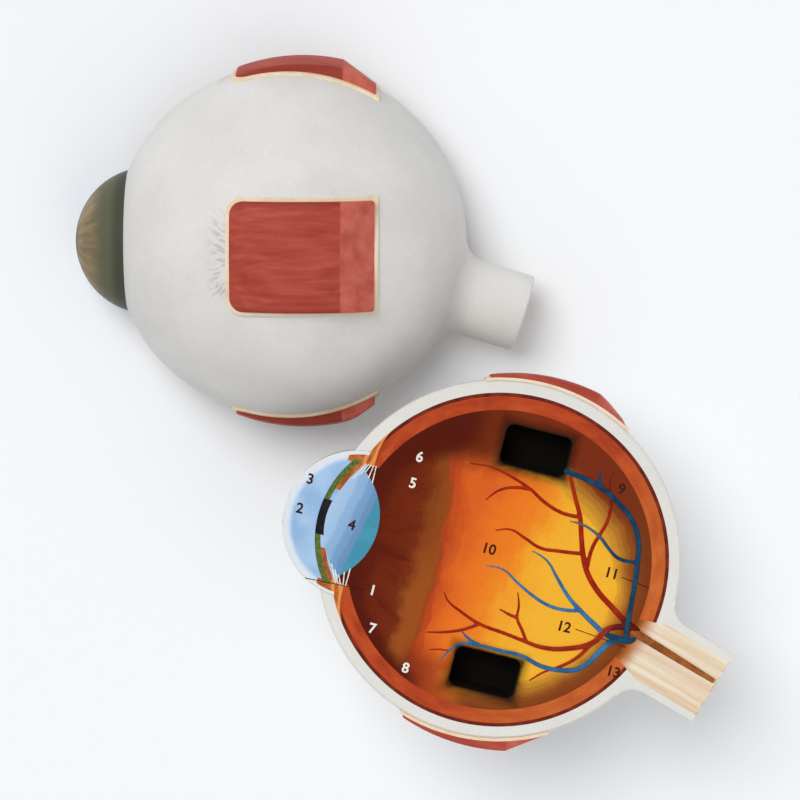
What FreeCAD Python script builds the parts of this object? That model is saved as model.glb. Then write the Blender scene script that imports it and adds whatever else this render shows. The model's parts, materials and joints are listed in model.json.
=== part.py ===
import FreeCAD, Part
import math
import os

# Eye anatomy model: a soft foam eyeball, cut down its middle into two halves that peg together.
# The socket half lies open, with its section face up. The peg half stands beside it on its two
# pegs, dome up. Units are millimetres.
#
# A half is drawn round the ball's centre: +X runs back along the optical axis, +Y is up the eye
# and the section face is the plane z = 0. The socket half fills z < 0 and the peg half z > 0.
# The model's own origin lies on the table, under the centre of the socket half's ball.

# Wall of the globe, from the outside in
GLOBE_RADIUS = 60.0
SCLERA_WALL = 4.0
CHOROID_WALL = 1.2
RETINA_WALL = 4.5

# Front of the eye
CORNEA_RADIUS = 25.0
CORNEA_BULGE = 13.0  # how far the cornea's tip stands in front of the globe
CORNEA_WALL = 1.3
LENS_HEIGHT = 36.0
LENS_THICKNESS = 17.6
IRIS_HEIGHT = 34.0
IRIS_THICKNESS = 1.9
IRIS_DOME = 4.4  # rise of the iris's front over its height
IRIS_TO_LENS = 0.8
IRIS_ROOT = 0.35  # share of the ciliary body's thickness that the iris's edge is seated in
FOLD_THICKNESS = 1.6  # folds of the ciliary body, along the back of the iris
FOLD_START = 10.0  # from the optical axis
PUPIL_RADIUS = 6.0
CILIARY_LENGTH = 10.5  # along the inside of the sclera
CILIARY_HOLLOW = 1.3  # how far the back of the ciliary body curves in
CILIARY_SETBACK = 2.8  # of the ciliary body's tip, behind the cornea's edge
ZONULE_GAP = 2.2  # between the lens's edge and the ciliary body's tip
ZONULE_WIDTH = 0.7
ZONULE_HEIGHT = 0.4
ZONULE_COUNT = 4

# Optic nerve
NERVE_ANGLE = -17.0  # degrees from the optical axis
NERVE_END = 83.0  # from the ball's centre
NERVE_RADIUS = 10.5
NERVE_SHEATH = 2.8
NERVE_FLARE = 8.0  # radius of the hollow curve where the sheath meets the globe
DISC_RADIUS = 7.5  # the optic disc, where the nerve meets the retina
CENTRAL_VESSEL_WIDTH = 1.9
CENTRAL_VESSEL_RISE = 2.6  # above the nerve's middle line

# Straight eye muscles: one on each side of the ball, and halved ones above and below
MUSCLE_FRONT = -18.0
MUSCLE_BACK = 29.0
MUSCLE_WIDTH = 36.0
MUSCLE_CORNER = 4.5
MUSCLE_RISE = 3.15  # height over the globe at the slab's own crown
MUSCLE_SHIFT = 4.6  # the slab's outside is a ball set back by this, so it thickens to the back
MUSCLE_END = 11.0  # length of the sloping cut end
BORDER_THICKNESS = 1.0
BORDER_WIDTH = 1.3
FOOT_TRIM = 0.75  # shaved off the crown of the slab that the socket half lies on

# Rounding of the foam's outer edges
RIM_SOFTNESS = 0.7  # round the cut face, and at the nerve's end
CORNEA_SOFTNESS = 0.4
MUSCLE_SOFTNESS = 1.0
BORDER_SOFTNESS = 0.4

# Pegs and sockets
SOCKET_LENGTH = 22.0
SOCKET_WIDTH = 13.5
SOCKET_DEPTH = 13.0
SOCKET_CORNER = 2.5
SOCKET_MOUTH = 0.8
SOCKET_WALL = 1.4  # least wall between a socket's bottom corner and the retina
UPPER_SOCKET_X = 2.5
LOWER_SOCKET_X = 4.8
PEG_LENGTH = 12.0
PEG_CLEARANCE = 0.4
BLOCK_END = 1.5  # rounding of a peg's tip and of a socket's floor

# Raised vessels on the section face of the socket half. Each route runs from the optic disc out
# and is given in hundredths of the vitreous body's radius.
VESSEL_HEIGHT = 0.7
TRUNK_WIDTH = 2.2
BRANCH_WIDTH = 1.6
TWIG_WIDTH = 1.2
TIP_WIDTH = 0.6
UPPER_ARTERY = [
    (98, -22), (91, -19), (80, -12), (67, -3), (57, 8), (52, 18), (48, 29), (44, 41), (38, 53), (33, 67),
]
LOWER_ARTERY = [(98, -22), (88, -23), (80, -27), (74, -37), (57, -46), (42, -49), (30, -48)]
ARTERY_BRANCHES = [
    [(57, 8), (57, 22), (59, 32), (63, 45), (64, 57), (61, 69), (60, 78)],
    [(44, 41), (32, 41), (19, 45), (8, 51), (-6, 56), (-21, 59), (-35, 58)],
    [(52, 18), (37, 16), (24, 15), (12, 19), (2, 22), (-8, 19)],
    [(30, -48), (15, -46), (-2, -44), (-16, -39), (-26, -34), (-30, -29)],
    [(74, -37), (65, -51), (56, -59), (47, -65), (39, -73)],
]
ARTERY_TWIGS = [
    [(8, 51), (-1, 50), (-11, 46), (-19, 37)],
    [(-2, -44), (-11, -50), (-23, -55), (-35, -58)],
    [(31, -48), (26, -41), (21, -34), (20, -26), (17, -17)],
    [(21, -34), (15, -33), (8, -31)],
    [(-13, -68), (-20, -67), (-27, -69)],
]
UPPER_VEIN = [
    (97, -32), (94, -25), (92, -11), (90, 7), (88, 22), (85, 35), (78, 47), (65, 57), (51, 64), (26, 69),
]
MIDDLE_VEIN = [
    (97, -32), (88, -32), (80, -30), (70, -25), (60, -19), (50, -12), (40, -2), (30, 8), (19, 12),
]
LOWER_VEIN = [
    (97, -32), (89, -33), (83, -39), (78, -49), (71, -56), (60, -60), (45, -61), (30, -58), (15, -58), (2, -58),
    (-11, -60), (-18, -68), (-21, -74),
]
VEIN_BRANCHES = [
    [(88, 21), (75, 21), (67, 26), (60, 31), (50, 36), (38, 37)],
    [(60, -19), (51, -21), (40, -21), (27, -17), (15, -11), (4, -5), (-8, -5)],
]
VEIN_TWIGS = [
    [(53, 63), (50, 69), (49, 75)],
    [(2, -58), (-7, -55), (-13, -51)],
]

# The open display: where the peg half stands, seen from the socket half
DISPLAY_DIRECTION = 139.0  # degrees
DISPLAY_TURN = 14.0  # degrees
DISPLAY_GAP = 3.0  # between the two globes, in plan

# Sizes that follow
SCLERA_INSIDE = GLOBE_RADIUS - SCLERA_WALL
CHOROID_INSIDE = SCLERA_INSIDE - CHOROID_WALL
VITREOUS_RADIUS = CHOROID_INSIDE - RETINA_WALL
CORNEA_X = -(GLOBE_RADIUS + CORNEA_BULGE - CORNEA_RADIUS)
NERVE_OUTSIDE = NERVE_RADIUS + NERVE_SHEATH
MUSCLE_RADIUS = GLOBE_RADIUS + MUSCLE_RISE
BORDER_RADIUS = GLOBE_RADIUS + BORDER_THICKNESS
REST_HEIGHT = MUSCLE_RADIUS - FOOT_TRIM
FAR = 3 * GLOBE_RADIUS  # beyond everything
SLIVER = 1.0  # a scrap of region smaller than this is left out
CUT_FACE_TOLERANCE = 0.1  # an edge this near to the cut face lies on it
RIM_INSET = 0.8  # how far inside its edge a rim's easing is centred, to the easing's radius
FULL_TURN = 360

ORIGIN = FreeCAD.Vector(0, 0, 0)
X_AXIS = FreeCAD.Vector(1, 0, 0)
Y_AXIS = FreeCAD.Vector(0, 1, 0)
Z_AXIS = FreeCAD.Vector(0, 0, 1)

SOCKET = -1  # side of the section plane that each half fills
PEG = 1


def at(x, y, z=0.0):
    return FreeCAD.Vector(x, y, z)


def axis_crossing(radius_a, centre_a, radius_b, centre_b):
    """x of the plane where two balls centred on the optical axis cross."""
    squares = radius_a**2 - radius_b**2 + centre_b**2 - centre_a**2
    return squares / (2 * (centre_b - centre_a))


def cap_radius(half_height, rise):
    """Radius of the arc over a chord of twice half_height that stands rise above it."""
    return (half_height**2 + rise**2) / (2 * rise)


# The inner edge of the cornea, where it meets the inside of the sclera: the lens hangs here
LIMBUS_X = axis_crossing(CORNEA_RADIUS, CORNEA_X, SCLERA_INSIDE, 0.0)
LIMBUS_ANGLE = math.acos(-LIMBUS_X / SCLERA_INSIDE)


# --- The section drawing: regions of the upper half of the plane z = 0 -------------------------


def half_disc(radius, x=0.0):
    arc = Part.Arc(at(x + radius, 0), at(x, radius), at(x - radius, 0)).toShape()
    base = Part.LineSegment(at(x - radius, 0), at(x + radius, 0)).toShape()
    return Part.Face(Part.Wire([arc, base]))


def outline(*corners):
    return Part.Face(Part.makePolygon([at(*c) for c in corners + corners[:1]]))


def band(outer, inner, x=0.0):
    return half_disc(outer, x).cut(half_disc(inner, x))


def in_front_of(x):
    return outline((-FAR, 0), (x, 0), (x, FAR), (-FAR, FAR))


def behind(x):
    return outline((x, 0), (FAR, 0), (FAR, FAR), (x, FAR))


def lens_region():
    radius = cap_radius(LENS_HEIGHT / 2, LENS_THICKNESS / 2)
    reach = radius - LENS_THICKNESS / 2
    return half_disc(radius, LIMBUS_X + reach).common(half_disc(radius, LIMBUS_X - reach))


def ciliary_tip():
    return at(LIMBUS_X + CILIARY_SETBACK, LENS_HEIGHT / 2 + ZONULE_GAP)


def between(low_y, high_y):
    """In front of the lens's middle plane, from one height over the optical axis to another."""
    return outline((-FAR, low_y), (LIMBUS_X, low_y), (LIMBUS_X, high_y), (-FAR, high_y))


def iris_regions():
    """The domed sheet of the iris, the folds that lie against its back, and the pupil in its middle."""
    radius = cap_radius(IRIS_HEIGHT / 2, IRIS_DOME)
    centre_x = LIMBUS_X - LENS_THICKNESS / 2 - IRIS_TO_LENS - IRIS_THICKNESS + radius
    back_radius = radius - IRIS_THICKNESS
    inside_cornea = CORNEA_RADIUS - CORNEA_WALL
    roof_y = math.sqrt(inside_cornea**2 - (LIMBUS_X - CORNEA_X) ** 2)
    edge_y = ciliary_tip().y + IRIS_ROOT * (roof_y - ciliary_tip().y)
    iris = band(radius, back_radius, centre_x).common(between(PUPIL_RADIUS, edge_y))
    iris = iris.common(half_disc(inside_cornea, CORNEA_X))
    folds = band(back_radius, back_radius - FOLD_THICKNESS, centre_x).common(between(FOLD_START, FAR))
    pupil = half_disc(radius, centre_x).common(between(0, PUPIL_RADIUS)).cut(lens_region())
    return iris, folds, pupil


def ciliary_wedge():
    """From the sclera's inside down to the tip over the lens's edge, and forward to the cornea."""
    end_angle = LIMBUS_ANGLE + CILIARY_LENGTH / SCLERA_INSIDE
    wall = at(-SCLERA_INSIDE * math.cos(end_angle), SCLERA_INSIDE * math.sin(end_angle))
    outside = wall * (GLOBE_RADIUS / SCLERA_INSIDE)
    tip = ciliary_tip()
    fore = at(LIMBUS_X - CORNEA_BULGE / 2, tip.y)
    crest = at(fore.x, outside.y)
    chord = tip - wall
    inward = at(chord.y, -chord.x).normalize()
    bend = (wall + tip) * 0.5 + inward * CILIARY_HOLLOW
    edges = [Part.Arc(wall, bend, tip).toShape()]
    corners = [tip, fore, crest, outside, wall]
    edges += [Part.LineSegment(a, b).toShape() for a, b in zip(corners, corners[1:])]
    return Part.Face(Part.Wire(edges))


def section_regions():
    """Every layer's region. The pieces laid down first keep their space, and later ones fill in."""
    lens = lens_region()
    iris, folds, pupil = iris_regions()
    cornea = band(CORNEA_RADIUS, CORNEA_RADIUS - CORNEA_WALL, CORNEA_X)
    cornea = cornea.common(in_front_of(LIMBUS_X))
    sclera = band(GLOBE_RADIUS, SCLERA_INSIDE).cut(half_disc(CORNEA_RADIUS, CORNEA_X))
    chamber = half_disc(CORNEA_RADIUS - CORNEA_WALL, CORNEA_X).common(in_front_of(LIMBUS_X))
    posterior = half_disc(SCLERA_INSIDE).common(behind(LIMBUS_X))
    ciliary = ciliary_wedge().fuse(folds).common(chamber.fuse(posterior))
    ciliary = ciliary.cut(Part.makeCompound([lens, iris, pupil])).removeSplitter()
    chamber = chamber.cut(Part.makeCompound([lens, iris, pupil, ciliary]))
    choroid = band(SCLERA_INSIDE, CHOROID_INSIDE).common(posterior).cut(ciliary)
    tip_y = ciliary_tip().y
    lens_side = outline((-FAR, 0), (0, 0), (0, tip_y), (-FAR, tip_y))
    retina = band(CHOROID_INSIDE, VITREOUS_RADIUS).common(posterior).cut(ciliary).cut(lens_side)
    vitreous = posterior.cut(Part.makeCompound([lens, ciliary, choroid, retina]))
    return {
        "sclera": sclera,
        "choroid": choroid,
        "retina": retina,
        "vitreous": vitreous,
        "cornea": cornea,
        "aqueous_chamber": chamber,
        "iris": iris,
        "pupil": pupil,
        "lens": lens,
        "ciliary_body": ciliary,
    }


# --- Solids of one half ------------------------------------------------------------------------


def joined(pieces):
    return pieces[0].multiFuse(pieces[1:]).removeSplitter() if len(pieces) > 1 else pieces[0]


def half_turn(region, side):
    """The region swept round the optical axis through one side of the section plane."""
    solids = []
    for face in region.Faces:
        if face.Area > SLIVER:
            solid = face.revolve(ORIGIN, X_AXIS * side, 180).Solids[0]
            if solid.Volume < 0:
                solid.reverse()
            solids.append(solid)
    return joined(solids)


def half_space(side):
    low = 0 if side == PEG else -FAR
    return Part.makeBox(2 * FAR, 2 * FAR, FAR, at(-FAR, -FAR, low))


def middle_of(edge):
    return edge.valueAt((edge.FirstParameter + edge.LastParameter) / 2)


def on_cut_face(edge):
    box = edge.BoundBox
    return max(abs(box.ZMin), abs(box.ZMax)) < CUT_FACE_TOLERANCE


def softened_rim(shell, radius, centre_x, softness, side, start=0, sweep=FULL_TURN):
    """The shell with its outer edge on the cut face eased, over a sweep from the start angle."""
    bend_radius = softness / (RIM_INSET - math.sqrt(1 - RIM_INSET**2))
    inset = bend_radius * RIM_INSET
    centre = at(radius - inset, 0, inset * side)
    corner = at(radius + 2 * softness, 0, -2 * softness * side)
    corners = [centre, at(corner.x, 0, centre.z), corner, at(centre.x, 0, corner.z), centre]
    disc = Part.Face(Part.Wire(Part.Circle(centre, Y_AXIS, bend_radius).toShape()))
    shaving = Part.Face(Part.makePolygon(corners)).cut(disc).revolve(ORIGIN, Z_AXIS, sweep)
    shaving.rotate(ORIGIN, Z_AXIS, start)
    shaving.translate(at(centre_x, 0, 0))
    return shell.cut(shaving).Solids[0]


def along_nerve(shape):
    return shape.rotate(ORIGIN, Z_AXIS, NERVE_ANGLE)


def flare_centre():
    """Centre of the hollow curve at the nerve's root, with the nerve along X."""
    y = NERVE_OUTSIDE + NERVE_FLARE
    return at(math.sqrt((GLOBE_RADIUS + NERVE_FLARE) ** 2 - y**2), y)


def softened_sheath(sheath):
    """The sheath, with the nerve along X, and its outer edges on the cut face and at its end rounded."""
    edges = []
    for edge in sheath.Edges:
        place = middle_of(edge)
        outside = math.hypot(place.y, place.z) > NERVE_RADIUS + NERVE_SHEATH / 2
        at_end = place.x > NERVE_END - CUT_FACE_TOLERANCE
        if outside and (at_end or on_cut_face(edge) and place.Length > GLOBE_RADIUS + CUT_FACE_TOLERANCE):
            edges.append(edge)
    return sheath.makeFillet(RIM_SOFTNESS, edges).Solids[0]


def nerve_solids(side):
    """The fibres, from the optic disc to the cut end, and the white sheath round them."""
    shoulder_x = math.sqrt(GLOBE_RADIUS**2 - NERVE_RADIUS**2)
    shoulder = (shoulder_x, NERVE_RADIUS)
    disc_edge = (VITREOUS_RADIUS, DISC_RADIUS)
    end_in = (NERVE_END, NERVE_RADIUS)
    end_out = (NERVE_END, NERVE_OUTSIDE)
    passage = outline((0, 0), (NERVE_END, 0), end_in, shoulder, disc_edge, (0, DISC_RADIUS))
    fibres = passage.cut(half_disc(VITREOUS_RADIUS))
    tube = outline((0, NERVE_RADIUS), end_in, end_out, (0, NERVE_OUTSIDE))
    flare = flare_centre()
    foot = flare * (GLOBE_RADIUS / flare.Length)
    web = outline((0, NERVE_RADIUS), (flare.x, NERVE_RADIUS), (flare.x, flare.y), (foot.x, foot.y))
    hollow = Part.Face(Part.Wire(Part.Circle(flare, Z_AXIS, NERVE_FLARE).toShape()))
    sheath = tube.fuse(web.cut(hollow)).cut(half_disc(GLOBE_RADIUS)).removeSplitter()
    return along_nerve(half_turn(fibres, side)), along_nerve(softened_sheath(half_turn(sheath, side)))


def upright_edges(block):
    return [e for e in block.Edges if e.BoundBox.ZLength > block.BoundBox.ZLength / 2]


def muscle_prism(grow):
    """The slab's plan, drawn up through the ball: square at the back, rounded at the front."""
    length = MUSCLE_BACK - MUSCLE_FRONT + 2 * grow
    width = MUSCLE_WIDTH + 2 * grow
    prism = Part.makeBox(length, width, FAR, at(MUSCLE_FRONT - grow, -width / 2, 0))
    middle = (MUSCLE_FRONT + MUSCLE_BACK) / 2
    front = [e for e in upright_edges(prism) if e.CenterOfMass.x < middle]
    return prism.makeFillet(MUSCLE_CORNER + grow, front)


def softened_top(slab, seat, softness):
    """A slab that lies on a ball of radius seat, with its edges rounded where they stand clear of it."""
    clear = [e for e in slab.Edges if middle_of(e).Length > seat + softness]
    return slab.makeFillet(softness, clear).Solids[0]


def muscle_slab():
    """One straight muscle over the +Z pole of the globe: the red slab, and its pale border."""
    outer = Part.makeSphere(MUSCLE_RADIUS, at(MUSCLE_SHIFT, 0, 0))
    slab = muscle_prism(0).common(outer).cut(Part.makeSphere(BORDER_RADIUS))
    slope_start = MUSCLE_BACK - MUSCLE_END
    top = math.sqrt(MUSCLE_RADIUS**2 - (slope_start - MUSCLE_SHIFT) ** 2)
    foot = math.sqrt(BORDER_RADIUS**2 - MUSCLE_BACK**2)
    fall = math.degrees(math.atan2(top - foot, MUSCLE_END))
    slope = Part.makeBox(FAR, 2 * FAR, FAR, at(0, -FAR, 0))
    slope.rotate(ORIGIN, Y_AXIS, fall)
    slope.translate(at(slope_start, 0, top))
    border = muscle_prism(BORDER_WIDTH).common(Part.makeSphere(BORDER_RADIUS))
    border = border.cut(Part.makeSphere(GLOBE_RADIUS))
    slab = softened_top(slab.cut(slope), BORDER_RADIUS, MUSCLE_SOFTNESS)
    return slab, softened_top(border, GLOBE_RADIUS, BORDER_SOFTNESS)



def muscle_solids(side):
    """The whole muscle on the dome, and this half's share of those above and below."""
    names = ["lateral" if side == PEG else "medial", "superior", "inferior"]
    turns = [0 if side == PEG else 180, -90, 90]
    solids = {}
    for name, turn in zip(names, turns):
        for kind, piece in zip(("rectus", "rectus_border"), muscle_slab()):
            piece = piece.rotate(ORIGIN, X_AXIS, turn)
            if name in ("superior", "inferior"):
                piece = piece.common(half_space(side)).Solids[0]
            solids[name + "_" + kind] = piece
    if side == SOCKET:
        table = Part.makeBox(2 * FAR, 2 * FAR, FAR, at(-FAR, -FAR, -REST_HEIGHT - FAR))
        solids["medial_rectus"] = solids["medial_rectus"].cut(table).Solids[0]
    return solids


def socket_places():
    """Middle of each socket: as far out as the wall behind its bottom corner allows."""
    places = {}
    for name, x, way in (("upper", UPPER_SOCKET_X, 1), ("lower", LOWER_SOCKET_X, -1)):
        reach = VITREOUS_RADIUS - SOCKET_WALL
        far_x = abs(x) + SOCKET_LENGTH / 2
        outer_y = math.sqrt(reach**2 - far_x**2 - SOCKET_DEPTH**2)
        places[name] = at(x, way * (outer_y - SOCKET_WIDTH / 2))
    return places


def rounded_block(length, width, depth, corner):
    """A block hanging from z = 0, with rounded corners and a rounded end."""
    block = Part.makeBox(length, width, depth, at(-length / 2, -width / 2, -depth))
    block = block.makeFillet(corner, upright_edges(block))
    low = [e for e in block.Edges if e.BoundBox.ZMax < -depth / 2]
    return block.makeFillet(BLOCK_END, low)


def with_sockets(vitreous):
    """The vitreous body of the socket half, with its two sockets and their softened mouths."""
    for place in socket_places().values():
        hollow = rounded_block(SOCKET_LENGTH, SOCKET_WIDTH, SOCKET_DEPTH, SOCKET_CORNER)
        hollow.translate(place)
        vitreous = vitreous.cut(hollow)
    reach = math.hypot(SOCKET_LENGTH, SOCKET_WIDTH) / 2
    mouth = []
    for place in socket_places().values():
        for edge in vitreous.Edges:
            level = edge.BoundBox.ZLength < SOCKET_DEPTH / 2 and edge.CenterOfMass.z > -SOCKET_DEPTH / 2
            if level and all((corner.Point - place).Length < reach for corner in edge.Vertexes):
                mouth.append(edge)
    return vitreous.makeFillet(SOCKET_MOUTH, mouth).Solids[0]


def peg(place):
    length = SOCKET_LENGTH - 2 * PEG_CLEARANCE
    width = SOCKET_WIDTH - 2 * PEG_CLEARANCE
    block = rounded_block(length, width, PEG_LENGTH, SOCKET_CORNER - PEG_CLEARANCE)
    block.translate(place)
    return block.Solids[0]


# --- Raised lines on the section face ----------------------------------------------------------


def smooth_line(points):
    line = Part.BSplineCurve()
    line.interpolate(points)
    return line


def raised_line(points, start_width, end_width, height):
    """A rib that tapers along a smooth line through the points, standing on the plane z = 0."""
    middle = smooth_line([at(*p) for p in points])
    stations = 2 * len(points)
    edges = ([], [])
    for i in range(stations):
        share = i / (stations - 1)
        u = middle.FirstParameter + share * (middle.LastParameter - middle.FirstParameter)
        along = middle.tangent(u)[0]
        half_width = (start_width + share * (end_width - start_width)) / 2
        across = at(-along.y, along.x) * half_width
        edges[0].append(middle.value(u) + across)
        edges[1].append(middle.value(u) - across)
    sides = [smooth_line(places).toShape() for places in edges]
    start_cap = Part.LineSegment(edges[0][0], edges[1][0]).toShape()
    end_cap = Part.LineSegment(edges[0][-1], edges[1][-1]).toShape()
    rim = Part.Wire([sides[0], end_cap, sides[1], start_cap])
    return Part.Face(rim).extrude(at(0, 0, height))


def vessel(route, start_width, end_width):
    unit = VITREOUS_RADIUS / 100
    return raised_line([(x * unit, y * unit) for x, y in route], start_width, end_width, VESSEL_HEIGHT)


def arteries():
    ribs = [vessel(route, TRUNK_WIDTH, BRANCH_WIDTH) for route in (UPPER_ARTERY, LOWER_ARTERY)]
    ribs += [vessel(route, BRANCH_WIDTH, TIP_WIDTH) for route in ARTERY_BRANCHES]
    ribs += [vessel(route, TWIG_WIDTH, TIP_WIDTH) for route in ARTERY_TWIGS]
    return joined(ribs)


def veins():
    ribs = [vessel(UPPER_VEIN, TRUNK_WIDTH, BRANCH_WIDTH)]
    ribs += [vessel(route, TRUNK_WIDTH, TIP_WIDTH) for route in (MIDDLE_VEIN, LOWER_VEIN)]
    ribs += [vessel(route, BRANCH_WIDTH, TIP_WIDTH) for route in VEIN_BRANCHES]
    ribs += [vessel(route, TWIG_WIDTH, TIP_WIDTH) for route in VEIN_TWIGS]
    return joined(ribs)


def central_vessels():
    """The line that runs down the nerve from the optic disc."""
    start = (VITREOUS_RADIUS + CENTRAL_VESSEL_WIDTH / 2, CENTRAL_VESSEL_RISE)
    end = (NERVE_END - CENTRAL_VESSEL_WIDTH / 2, CENTRAL_VESSEL_RISE)
    rib = raised_line([start, end], CENTRAL_VESSEL_WIDTH, CENTRAL_VESSEL_WIDTH, VESSEL_HEIGHT)
    return along_nerve(rib)


def zonule_threads():
    """Threads that fan from the tips of the ciliary body to the edge of the lens."""
    bulge = cap_radius(LENS_HEIGHT / 2, LENS_THICKNESS / 2)
    threads = []
    for i in range(ZONULE_COUNT):
        spread = 2 * i / (ZONULE_COUNT - 1) - 1
        lens_x = spread * LENS_THICKNESS / 5
        lens_y = math.sqrt(bulge**2 - (bulge - LENS_THICKNESS / 2 + abs(lens_x)) ** 2)
        tip_x = CILIARY_SETBACK / 2 + spread * CILIARY_SETBACK / 2
        tip_y = LENS_HEIGHT / 2 + ZONULE_GAP + ZONULE_WIDTH
        for way in (1, -1):
            ends = [(LIMBUS_X + lens_x, way * (lens_y - ZONULE_WIDTH)), (LIMBUS_X + tip_x, way * tip_y)]
            threads.append(raised_line(ends, ZONULE_WIDTH, ZONULE_WIDTH, ZONULE_HEIGHT))
    return Part.makeCompound(threads)


# --- The two halves, set out side by side ------------------------------------------------------


def half_pieces(side):
    """Every piece of one half, by name, round the ball's centre."""
    pieces = {name: half_turn(region, side) for name, region in section_regions().items()}
    fibres, sheath = nerve_solids(side)
    for layer in ("sclera", "choroid", "retina"):
        pieces[layer] = pieces[layer].cut(fibres).Solids[0]
    root = math.degrees(math.atan2(flare_centre().y, flare_centre().x))
    clear_of_nerve = (NERVE_ANGLE + root, FULL_TURN - 2 * root)
    pieces["sclera"] = softened_rim(pieces["sclera"], GLOBE_RADIUS, 0, RIM_SOFTNESS, side, *clear_of_nerve)
    pieces["cornea"] = softened_rim(pieces["cornea"], CORNEA_RADIUS, CORNEA_X, CORNEA_SOFTNESS, side)
    pieces["optic_nerve_fibres"] = fibres
    pieces["optic_nerve_sheath"] = sheath
    pieces.update(muscle_solids(side))
    return pieces


def socket_mouths():
    """Everything over the sockets, out to the softened edge."""
    length = SOCKET_LENGTH + 2 * SOCKET_MOUTH
    width = SOCKET_WIDTH + 2 * SOCKET_MOUTH
    mouths = []
    for place in socket_places().values():
        block = rounded_block(length, width, SOCKET_DEPTH, SOCKET_CORNER + SOCKET_MOUTH)
        mouths.append(block.translate(place + at(0, 0, SOCKET_DEPTH / 2)))
    return Part.makeCompound(mouths)


def socket_half():
    pieces = half_pieces(SOCKET)
    pieces["vitreous"] = with_sockets(pieces["vitreous"])
    pieces["central_vessels"] = central_vessels()
    kept_clear = Part.makeCompound([pieces["central_vessels"], socket_mouths()])
    pieces["retinal_arteries"] = arteries().cut(kept_clear)
    pieces["retinal_veins"] = veins().cut(kept_clear).cut(pieces["retinal_arteries"])
    pieces["zonules"] = zonule_threads()
    for piece in pieces.values():
        piece.translate(at(0, 0, REST_HEIGHT))
    return pieces


def peg_half():
    pieces = half_pieces(PEG)
    for name, place in socket_places().items():
        pieces[name + "_peg"] = peg(place)
    reach = 2 * GLOBE_RADIUS + DISPLAY_GAP
    direction = math.radians(DISPLAY_DIRECTION)
    for piece in pieces.values():
        piece.rotate(ORIGIN, Z_AXIS, DISPLAY_TURN)
        piece.translate(at(reach * math.cos(direction), reach * math.sin(direction), PEG_LENGTH))
    return pieces


def export(half, pieces):
    for name, piece in pieces.items():
        piece.exportStep("parts/" + half + "_" + name + ".step")


def main():
    os.makedirs("parts", exist_ok=True)
    export("socket_half", socket_half())
    export("peg_half", peg_half())


main()
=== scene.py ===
import json
import math

import bpy
from mathutils import Matrix, Vector


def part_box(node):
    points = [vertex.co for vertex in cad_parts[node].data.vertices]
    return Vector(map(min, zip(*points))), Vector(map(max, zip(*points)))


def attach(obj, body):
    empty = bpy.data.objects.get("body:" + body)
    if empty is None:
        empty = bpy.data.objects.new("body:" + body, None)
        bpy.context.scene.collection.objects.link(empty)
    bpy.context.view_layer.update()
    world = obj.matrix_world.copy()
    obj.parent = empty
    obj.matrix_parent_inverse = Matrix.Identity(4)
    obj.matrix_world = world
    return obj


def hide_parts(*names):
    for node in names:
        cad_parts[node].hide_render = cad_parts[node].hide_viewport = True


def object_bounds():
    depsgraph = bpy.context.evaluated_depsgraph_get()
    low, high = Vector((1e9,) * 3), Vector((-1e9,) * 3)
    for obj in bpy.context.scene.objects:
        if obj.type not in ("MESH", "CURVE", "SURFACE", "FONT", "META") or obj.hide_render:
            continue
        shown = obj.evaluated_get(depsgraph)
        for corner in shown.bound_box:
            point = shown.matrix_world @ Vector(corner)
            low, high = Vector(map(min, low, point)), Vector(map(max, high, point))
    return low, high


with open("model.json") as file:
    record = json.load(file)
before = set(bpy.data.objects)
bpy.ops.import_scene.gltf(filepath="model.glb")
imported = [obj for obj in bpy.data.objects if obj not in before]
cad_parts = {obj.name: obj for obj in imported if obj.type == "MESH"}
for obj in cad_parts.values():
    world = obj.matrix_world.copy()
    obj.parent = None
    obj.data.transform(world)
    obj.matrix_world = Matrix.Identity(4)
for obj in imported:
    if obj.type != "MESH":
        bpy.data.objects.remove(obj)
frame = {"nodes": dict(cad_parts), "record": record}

# Looks of the eye anatomy model: painted soft foam, raised vessels and plain numbers on the cut face.
# Paint and printing are laid out in eye millimetres: +X runs back along the optical axis of a half,
# +Y up the eye, +Z out of the socket half's cut face, from the centre of the ball.

CAD_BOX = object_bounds()
MM = 0.001


# --- Where the halves lie ----------------------------------------------------------------------


def middle_of(box):
    low, high = box
    return Vector(((low[0] + high[0]) / 2, (low[1] + high[1]) / 2))


class Half:
    """One half of the eye, with its turn on the table, its stand and the height of its cut face."""

    def __init__(self, body, turn, stand, face):
        self.body = body
        self.turn = turn
        self.stand = Vector((stand[0], stand[1], face))

    def place(self):
        """From eye millimetres to the frame's metres."""
        return Matrix.Translation(self.stand) @ Matrix.Rotation(self.turn, 4, "Z") @ Matrix.Scale(MM, 4)


sockets = {o["name"]: middle_of(o["box_m"]) for o in frame["record"]["physics"]["openings"]}
peg_ends = {m["name"]: Vector(m["pos_m"][:2]) for m in frame["record"]["mounts"]}
UPPER_SOCKET = sockets["upper_socket"] / MM
LOWER_SOCKET = sockets["lower_socket"] / MM
peg_line = peg_ends["upper_peg_end"] - peg_ends["lower_peg_end"]
socket_line = sockets["upper_socket"] - sockets["lower_socket"]
turn = math.atan2(peg_line.y, peg_line.x) - math.atan2(socket_line.y, socket_line.x)
stand = peg_ends["upper_peg_end"] - Matrix.Rotation(turn, 2) @ sockets["upper_socket"]
SOCKET_HALF = Half("socket_half", 0.0, (0.0, 0.0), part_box("socket_half_sclera")[1].z)
PEG_HALF = Half("peg_half", turn, stand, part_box("peg_half_sclera")[0].z)

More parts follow.
